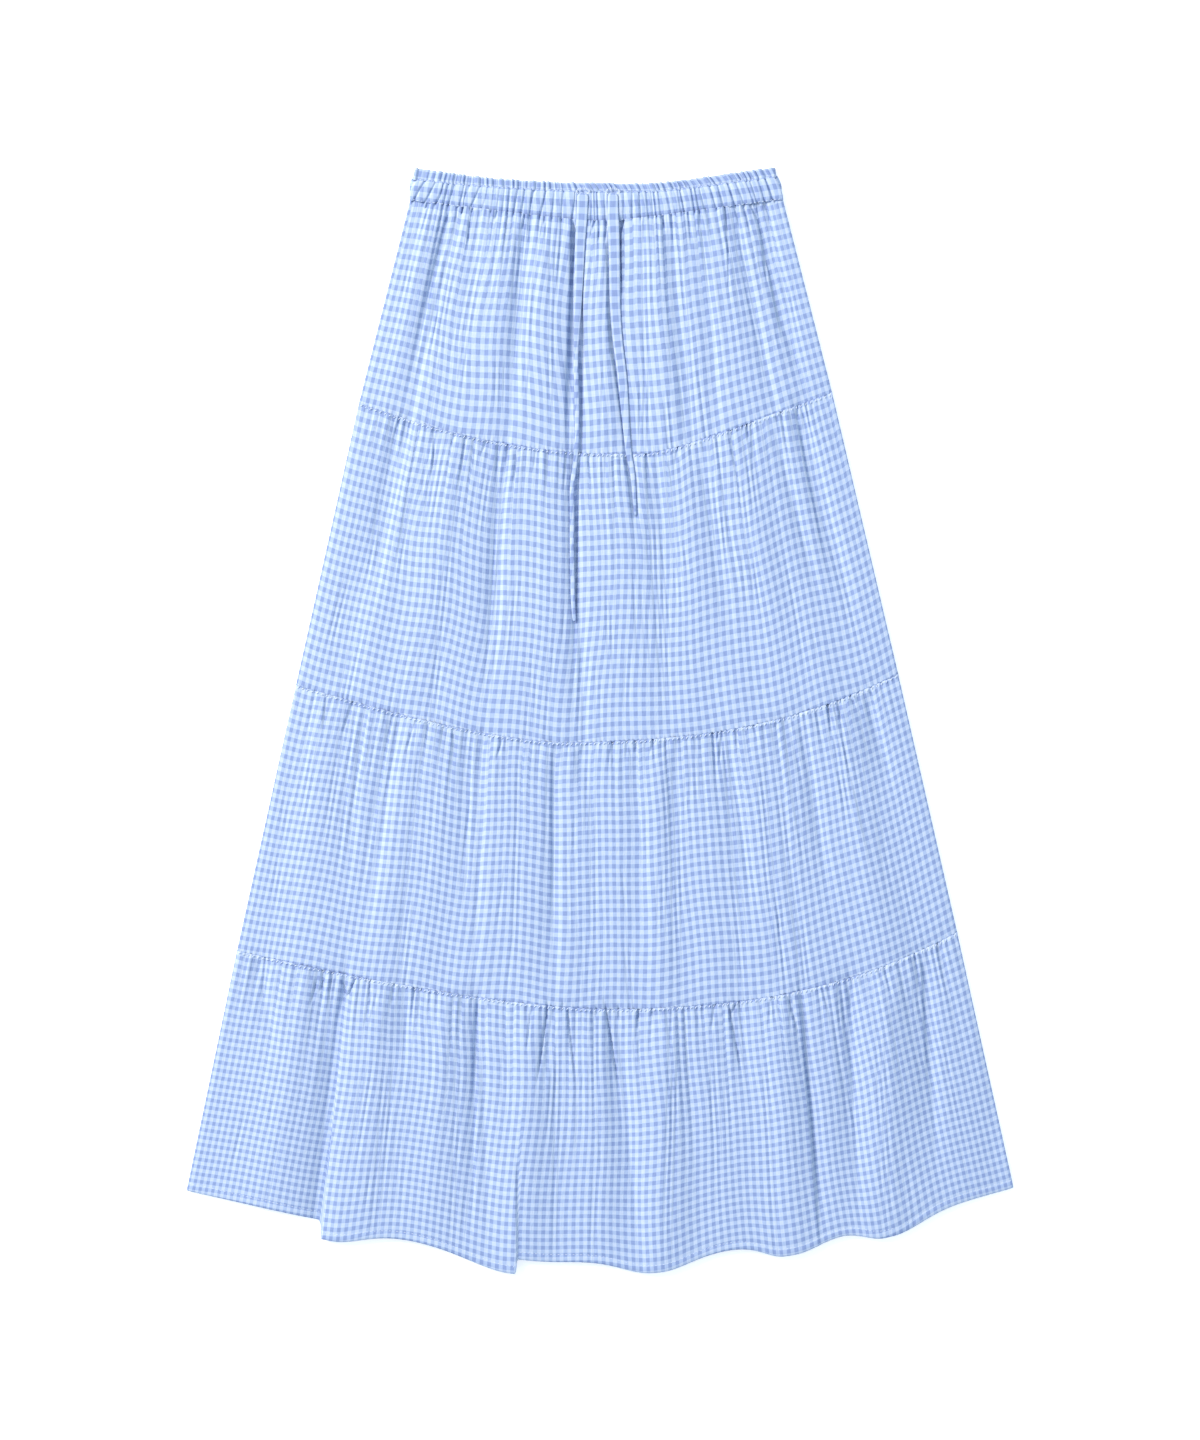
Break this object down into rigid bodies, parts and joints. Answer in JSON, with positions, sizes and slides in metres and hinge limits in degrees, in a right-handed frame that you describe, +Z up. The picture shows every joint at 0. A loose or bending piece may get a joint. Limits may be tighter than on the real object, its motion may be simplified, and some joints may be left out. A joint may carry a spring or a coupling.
{
  "type": "tiered ruffle skirt",
  "caption": "Long gingham skirt laid flat on its back: gathered tiers that widen to a wavy hem, an elastic drawstring waist with a narrow frill, and loose ties.",
  "frame": {"origin": "middle of the laid skirt, on the surface under it", "axes": "+Y towards the waist, +X to the right of the laid skirt, +Z up out of its front"},
  "size_m": [0.7026, 0.9382, 0.0129],
  "materials": {
    "gingham": "soft matt light cotton with a fine crinkle, in small light blue and white checks",
    "thread": "pale blue sewing thread"
  },
  "bodies": {
    "root": {"tier_1_front": "gingham", "tier_1_back": "gingham", "tier_2_front": "gingham", "tier_2_back": "gingham", "tier_3_front": "gingham", "tier_3_back": "gingham", "tier_4_front": "gingham", "tier_4_back": "gingham", "casing_front": "gingham", "casing_back": "gingham", "frill_front": "gingham", "frill_back": "gingham", "tie_left": "gingham", "tie_right": "gingham"}
  },
  "joints": []
}
